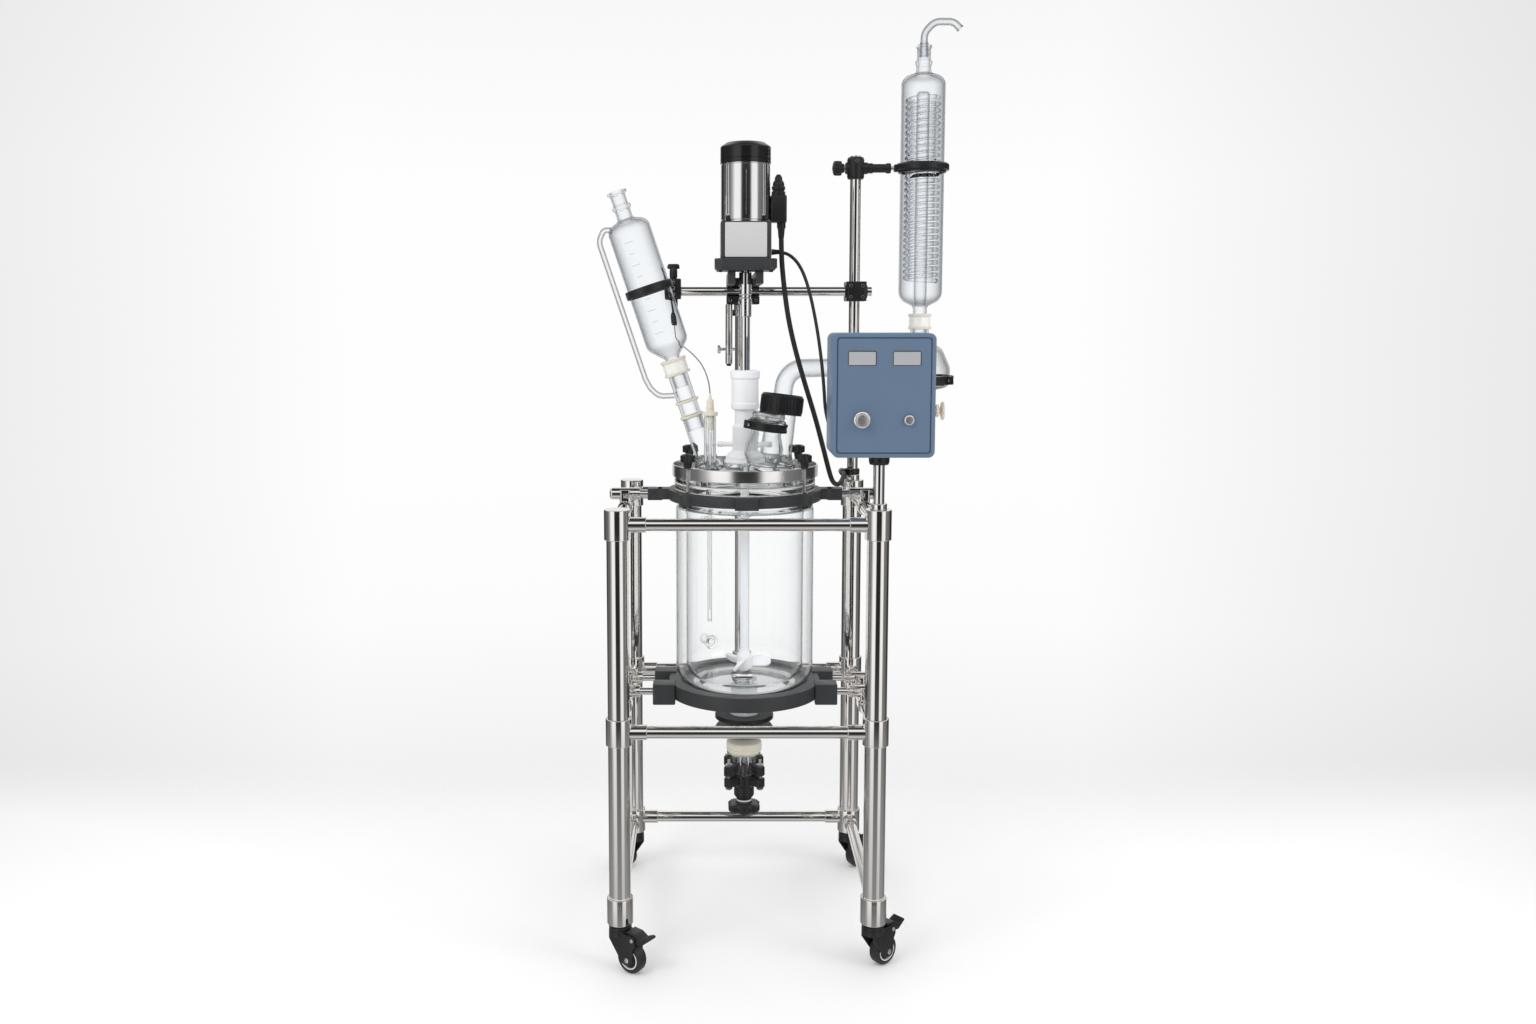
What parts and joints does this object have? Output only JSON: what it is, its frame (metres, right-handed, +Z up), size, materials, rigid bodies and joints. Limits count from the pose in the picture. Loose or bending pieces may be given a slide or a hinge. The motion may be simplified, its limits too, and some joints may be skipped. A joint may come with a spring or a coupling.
{
  "type": "jacketed glass reactor",
  "caption": "Jacketed glass reactor vessel on a wheeled tube frame, with top stirring drive, slanted dropping funnel, reflux condenser, control box and bottom drain valve.",
  "frame": {"origin": "on the floor, under the vessel's axis and the middle of the frame", "axes": "+Z up, -Y towards the side of the control box's panel, +X towards the condenser"},
  "size_m": [0.92, 0.7193, 2.2475],
  "materials": {
    "steel": "satin polish",
    "chrome": "polished",
    "motor_alloy": "brushed",
    "dark_coat": "satin powder coat",
    "box_paint": "satin paint",
    "clear_glass": "clear",
    "white_ptfe": "smooth",
    "cream_ptfe": "smooth",
    "black_plastic": "moulded",
    "cable_rubber": "smooth",
    "wheel_plastic": "moulded"
  },
  "bodies": {
    "stand": {"frame_legs": "steel", "frame_tees": "steel", "frame_rails": "steel", "ring_clamps": "steel", "lid_clamp_ring": "steel", "threaded_studs": "steel", "support_column": "steel", "support_rods": "steel", "condenser_clamp": "steel", "motor": "motor_alloy", "upper_support_ring": "dark_coat", "lower_support_ring": "dark_coat", "gearbox": "dark_coat", "motor_bracket": "dark_coat", "pole_clamps": "dark_coat", "funnel_clamp": "dark_coat", "control_box": "box_paint", "jacketed_vessel": "clear_glass", "vessel_lid": "clear_glass", "condenser": "clear_glass", "vent_tube": "clear_glass", "reflux_head": "clear_glass", "dropping_funnel": "clear_glass", "funnel_adapter": "clear_glass", "drain_outlet": "clear_glass", "vessel_seals": "white_ptfe", "bearing_housing": "white_ptfe", "joint_collars": "cream_ptfe", "temperature_probe": "cream_ptfe", "terminal_box": "black_plastic", "joint_clamps": "black_plastic", "drain_valve": "black_plastic", "motor_cable": "cable_rubber", "sensor_cable": "cable_rubber", "probe_lead": "cable_rubber"},
    "stirring_shaft": {"stirrer": "white_ptfe", "shaft_coupling": "chrome"},
    "column_lock": {"column_lock": "chrome"},
    "pole_knob": {"pole_knob": "black_plastic"},
    "funnel_clamp_knob": {"funnel_clamp_knob": "black_plastic"},
    "head_stopcock": {"head_stopcock": "cream_ptfe"},
    "port_screw_cap": {"port_screw_cap": "black_plastic"},
    "port_cover": {"port_cover": "clear_glass"},
    "speed_knob": {"speed_knob": "chrome"},
    "power_button": {"power_button": "chrome"},
    "drain_knob": {"drain_knob": "black_plastic"},
    "star_knob_front_left": {"star_knob_front_left": "black_plastic"},
    "star_knob_front_right": {"star_knob_front_right": "black_plastic"},
    "star_knob_rear_left": {"star_knob_rear_left": "black_plastic"},
    "star_knob_rear_right": {"star_knob_rear_right": "black_plastic"},
    "castor_fork_front_left": {"castor_fork_front_left": "black_plastic"},
    "castor_fork_front_right": {"castor_fork_front_right": "black_plastic"},
    "castor_fork_rear_left": {"castor_fork_rear_left": "black_plastic"},
    "castor_fork_rear_right": {"castor_fork_rear_right": "black_plastic"},
    "castor_brake_front_left": {"castor_brake_front_left": "black_plastic"},
    "castor_brake_front_right": {"castor_brake_front_right": "black_plastic"},
    "castor_wheel_front_left": {"castor_wheel_front_left": "wheel_plastic"},
    "castor_wheel_front_right": {"castor_wheel_front_right": "wheel_plastic"},
    "castor_wheel_rear_left": {"castor_wheel_rear_left": "wheel_plastic"},
    "castor_wheel_rear_right": {"castor_wheel_rear_right": "wheel_plastic"}
  },
  "joints": [
    {"name": "front_left_swivel", "type": "hinge", "parent": "stand", "child": "castor_fork_front_left", "pos_m": [-0.29, -0.27, 0.09], "axis": [0, 0, 1], "continuous": true},
    {"name": "front_left_roll", "type": "hinge", "parent": "castor_fork_front_left", "child": "castor_wheel_front_left", "pos_m": [-0.26215, -0.2895, 0.034], "axis": [0.5736, 0.8192, 0], "continuous": true},
    {"name": "front_left_brake", "type": "hinge", "parent": "castor_fork_front_left", "child": "castor_brake_front_left", "pos_m": [-0.25068, -0.29753, 0.084], "axis": [0.5736, 0.8192, 0], "range_deg": [0, 12]},
    {"name": "front_right_swivel", "type": "hinge", "parent": "stand", "child": "castor_fork_front_right", "pos_m": [0.29, -0.27, 0.09], "axis": [0, 0, 1], "continuous": true},
    {"name": "front_right_roll", "type": "hinge", "parent": "castor_fork_front_right", "child": "castor_wheel_front_right", "pos_m": [0.31605, -0.24815, 0.034], "axis": [-0.6428, 0.766, 0], "continuous": true},
    {"name": "front_right_brake", "type": "hinge", "parent": "castor_fork_front_right", "child": "castor_brake_front_right", "pos_m": [0.32677, -0.23915, 0.084], "axis": [-0.6428, 0.766, 0], "range_deg": [0, 12]},
    {"name": "rear_left_swivel", "type": "hinge", "parent": "stand", "child": "castor_fork_rear_left", "pos_m": [-0.29, 0.27, 0.09], "axis": [0, 0, 1], "continuous": true},
    {"name": "rear_left_roll", "type": "hinge", "parent": "castor_fork_rear_left", "child": "castor_wheel_rear_left", "pos_m": [-0.31605, 0.29185, 0.034], "axis": [-0.6428, -0.766, 0], "continuous": true},
    {"name": "rear_right_swivel", "type": "hinge", "parent": "stand", "child": "castor_fork_rear_right", "pos_m": [0.29, 0.27, 0.09], "axis": [0, 0, 1], "continuous": true},
    {"name": "rear_right_roll", "type": "hinge", "parent": "castor_fork_rear_right", "child": "castor_wheel_rear_right", "pos_m": [0.31679, 0.29093, 0.034], "axis": [-0.6157, 0.788, 0], "continuous": true},
    {"name": "stirring_spin", "type": "hinge", "parent": "stand", "child": "stirring_shaft", "pos_m": [0, 0, 1.2], "axis": [0, 0, 1], "continuous": true},
    {"name": "star_front_left_turn", "type": "hinge", "parent": "stand", "child": "star_knob_front_left", "pos_m": [-0.13636, -0.11442, 1.15], "axis": [0, 0, 1], "range_deg": [0, 360]},
    {"name": "star_front_right_turn", "type": "hinge", "parent": "stand", "child": "star_knob_front_right", "pos_m": [0.13636, -0.11442, 1.15], "axis": [0, 0, 1], "range_deg": [0, 360]},
    {"name": "star_rear_left_turn", "type": "hinge", "parent": "stand", "child": "star_knob_rear_left", "pos_m": [-0.13636, 0.11442, 1.15], "axis": [0, 0, 1], "range_deg": [0, 360]},
    {"name": "star_rear_right_turn", "type": "hinge", "parent": "stand", "child": "star_knob_rear_right", "pos_m": [0.13636, 0.11442, 1.15], "axis": [0, 0, 1], "range_deg": [0, 360]},
    {"name": "column_lock_turn", "type": "hinge", "parent": "stand", "child": "column_lock", "pos_m": [-0.036, 0.226, 1.408], "axis": [-1, 0, 0], "range_deg": [0, 360]},
    {"name": "pole_knob_turn", "type": "hinge", "parent": "stand", "child": "pole_knob", "pos_m": [0.26, 0.27, 1.871], "axis": [-1, 0, 0], "range_deg": [0, 360]},
    {"name": "funnel_clamp_knob_turn", "type": "hinge", "parent": "stand", "child": "funnel_clamp_knob", "pos_m": [-0.178, 0.22, 1.6], "axis": [0, 0, 1], "range_deg": [0, 360]},
    {"name": "stopcock_turn", "type": "hinge", "parent": "stand", "child": "head_stopcock", "pos_m": [0.5, 0.27, 1.246], "axis": [1, 0, 0], "range_deg": [0, 180]},
    {"name": "screw_cap_turn", "type": "hinge", "parent": "stand", "child": "port_screw_cap", "pos_m": [0.075, 0.056, 1.136], "axis": [0.1217, 0.0675, 0.9903], "range_deg": [0, 360]},
    {"name": "speed_knob_turn", "type": "hinge", "parent": "stand", "child": "speed_knob", "pos_m": [0.243, -0.34, 1.269], "axis": [0, 1, 0], "range_deg": [0, 270]},
    {"name": "drain_knob_turn", "type": "hinge", "parent": "stand", "child": "drain_knob", "pos_m": [0, 0, 0.28], "axis": [0, 0, 1], "range_deg": [0, 720]},
    {"name": "port_cover_lift", "type": "slide", "parent": "stand", "child": "port_cover", "axis": [0.1392, 0, 0.9903], "range_m": [0, 0.06]},
    {"name": "power_button_press", "type": "slide", "parent": "stand", "child": "power_button", "axis": [0, 1, 0], "range_m": [0, 0.003], "stiffness_N_per_m": 400}
  ]
}
